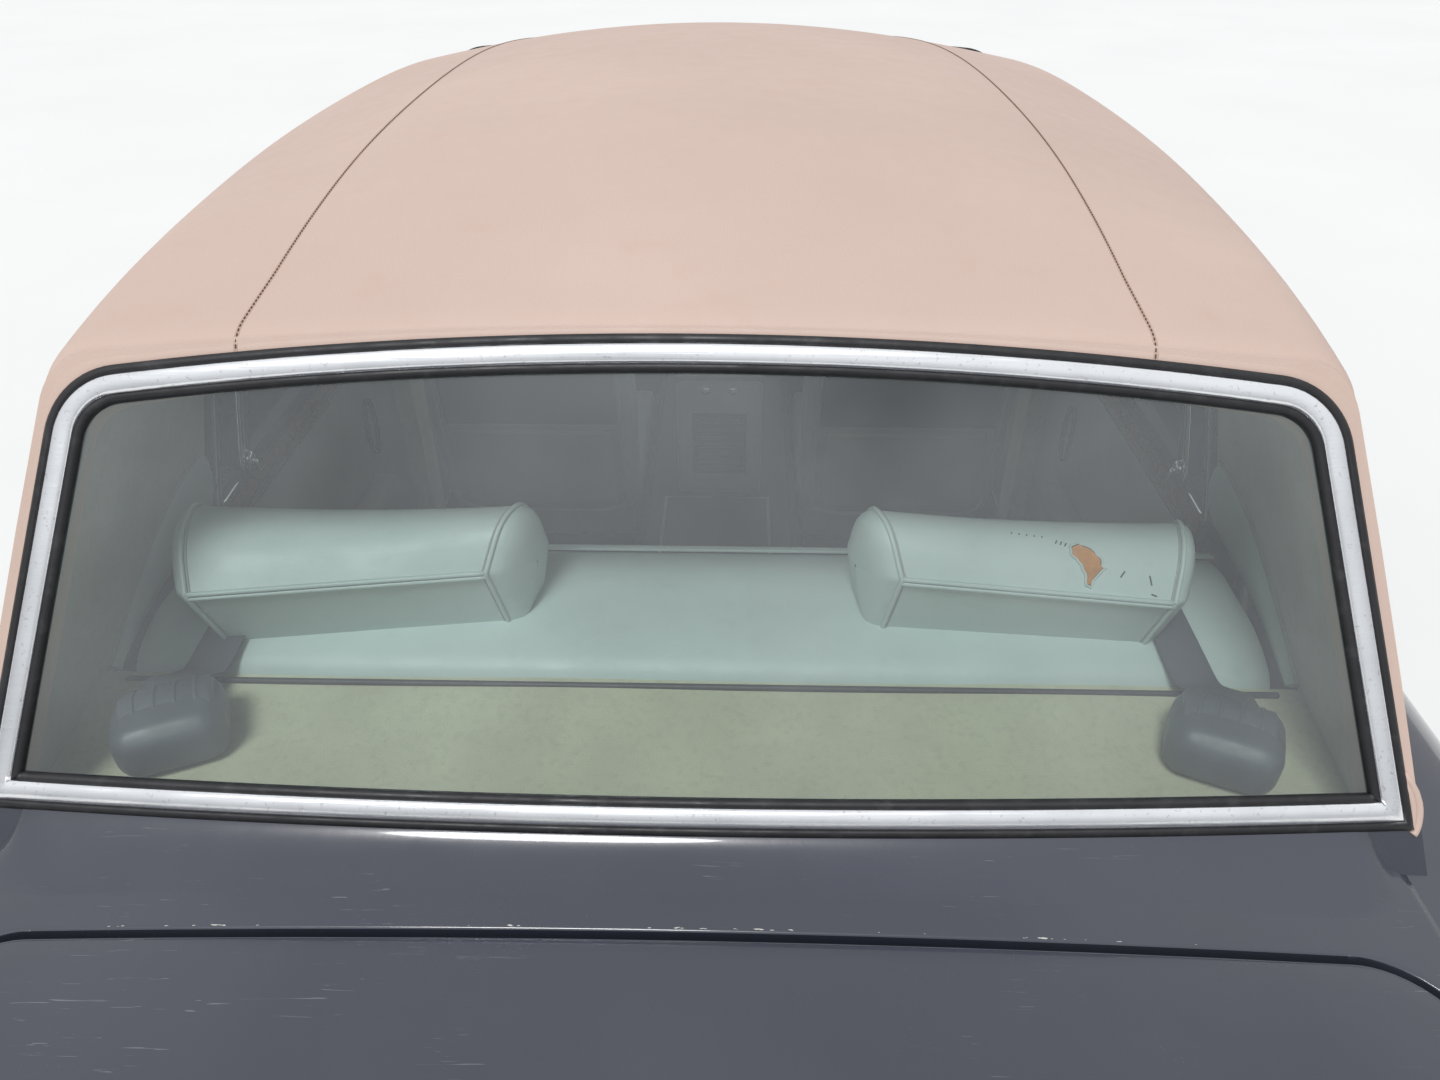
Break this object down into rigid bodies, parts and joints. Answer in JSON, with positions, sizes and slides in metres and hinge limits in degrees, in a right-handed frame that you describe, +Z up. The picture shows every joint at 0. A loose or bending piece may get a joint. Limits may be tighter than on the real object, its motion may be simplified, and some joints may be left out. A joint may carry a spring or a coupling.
{
  "type": "luxury saloon car",
  "caption": "Long four-door luxury saloon with a padded vinyl roof, framed rear window, opening doors, bonnet and boot, and steered wheels.",
  "frame": {"origin": "on the ground at the middle of the outline", "axes": "+X to the car's left, +Y to its rear, +Z up"},
  "size_m": [1.821, 5.1998, 1.5147],
  "materials": {
    "paint": "gloss",
    "vinyl": "matt grained vinyl",
    "chrome": "bright",
    "wheel_chrome": "bright cap on a painted disc",
    "glass": "tinted",
    "tyre": "satin",
    "bare_metal": "cast",
    "chassis_metal": "satin black",
    "leather": "grained",
    "carpet": "pile",
    "dark_plastic": "moulded",
    "lamp_glass": "ribbed lens",
    "red_lens": "moulded lens"
  },
  "bodies": {
    "body": {"belt_reels": "dark_plastic", "console": "leather", "dashboard": "leather", "driveline": "bare_metal", "engine": "bare_metal", "exhaust": "bare_metal", "floor_pan": "paint", "front_bumper": "chrome", "front_panel": "paint", "front_seats": "leather", "front_subframe": "chassis_metal", "front_wing_left": "paint", "front_wing_right": "paint", "grille": "chrome", "headlamps": "lamp_glass", "middle_pillars": "leather", "parcel_shelf": "carpet", "radiator": "chassis_metal", "rear_bumper": "chrome", "rear_deck": "paint", "rear_headrests": "leather", "rear_seat": "leather", "rear_suspension": "chassis_metal", "rear_window": "glass", "rear_wing_left": "paint", "rear_wing_right": "paint", "roof_shell": "vinyl", "screen_surrounds": "chrome", "scuttle": "paint", "tail_lamps": "red_lens", "tail_panel": "paint", "towing_eye": "chassis_metal", "windscreen": "glass"},
    "bonnet": {"bonnet": "paint"},
    "boot_lid": {"boot_lid": "paint"},
    "steering_wheel": {"steering_wheel": "dark_plastic"},
    "front_door_left": {"front_door_left": "paint", "front_door_glass_left": "glass"},
    "wheel_front_left": {"wheel_front_left": "wheel_chrome", "tyre_front_left": "tyre"},
    "rear_door_left": {"rear_door_left": "paint", "rear_door_glass_left": "glass"},
    "wheel_rear_left": {"wheel_rear_left": "wheel_chrome", "tyre_rear_left": "tyre"},
    "knuckle_left": {"knuckle_left": "chassis_metal"},
    "front_door_right": {"front_door_right": "paint", "front_door_glass_right": "glass"},
    "wheel_front_right": {"wheel_front_right": "wheel_chrome", "tyre_front_right": "tyre"},
    "rear_door_right": {"rear_door_right": "paint", "rear_door_glass_right": "glass"},
    "wheel_rear_right": {"wheel_rear_right": "wheel_chrome", "tyre_rear_right": "tyre"},
    "knuckle_right": {"knuckle_right": "chassis_metal"}
  },
  "joints": [
    {"name": "front_door_left", "type": "hinge", "parent": "body", "child": "front_door_left", "pos_m": [0.91, -0.872, 0.7], "axis": [0, 0, -1], "range_deg": [0, 68]},
    {"name": "rear_door_left", "type": "hinge", "parent": "body", "child": "rear_door_left", "pos_m": [0.91, 0.104, 0.7], "axis": [0, 0, -1], "range_deg": [0, 65]},
    {"name": "steer_left", "type": "hinge", "parent": "body", "child": "knuckle_left", "pos_m": [0.66, -1.7, 0.355], "axis": [0, 0, 1], "range_deg": [-32, 32]},
    {"name": "roll_front_left", "type": "hinge", "parent": "knuckle_left", "child": "wheel_front_left", "pos_m": [0.75, -1.7, 0.355], "axis": [1, 0, 0], "continuous": true},
    {"name": "roll_rear_left", "type": "hinge", "parent": "body", "child": "wheel_rear_left", "pos_m": [0.75, 1.35, 0.355], "axis": [1, 0, 0], "continuous": true},
    {"name": "front_door_right", "type": "hinge", "parent": "body", "child": "front_door_right", "pos_m": [-0.91, -0.872, 0.7], "axis": [0, 0, 1], "range_deg": [0, 68]},
    {"name": "rear_door_right", "type": "hinge", "parent": "body", "child": "rear_door_right", "pos_m": [-0.91, 0.104, 0.7], "axis": [0, 0, 1], "range_deg": [0, 65]},
    {"name": "steer_right", "type": "hinge", "parent": "body", "child": "knuckle_right", "pos_m": [-0.66, -1.7, 0.355], "axis": [0, 0, 1], "range_deg": [-32, 32]},
    {"name": "roll_front_right", "type": "hinge", "parent": "knuckle_right", "child": "wheel_front_right", "pos_m": [-0.75, -1.7, 0.355], "axis": [1, 0, 0], "continuous": true},
    {"name": "roll_rear_right", "type": "hinge", "parent": "body", "child": "wheel_rear_right", "pos_m": [-0.75, 1.35, 0.355], "axis": [1, 0, 0], "continuous": true},
    {"name": "bonnet", "type": "hinge", "parent": "body", "child": "bonnet", "pos_m": [0, -0.79, 1.018], "axis": [-1, 0, 0], "range_deg": [0, 50]},
    {"name": "boot_lid", "type": "hinge", "parent": "body", "child": "boot_lid", "pos_m": [0, 1.668, 0.999], "axis": [1, 0, 0], "range_deg": [0, 70]},
    {"name": "steering_wheel", "type": "hinge", "parent": "body", "child": "steering_wheel", "pos_m": [-0.37, -0.33, 0.84], "axis": [0, 0.9063, 0.4226], "range_deg": [-610, 610]}
  ],
  "couplings": [
    {"joint": "steer_right", "follows": "steer_left", "ratio": 1},
    {"joint": "steering_wheel", "follows": "steer_left", "ratio": 19}
  ]
}
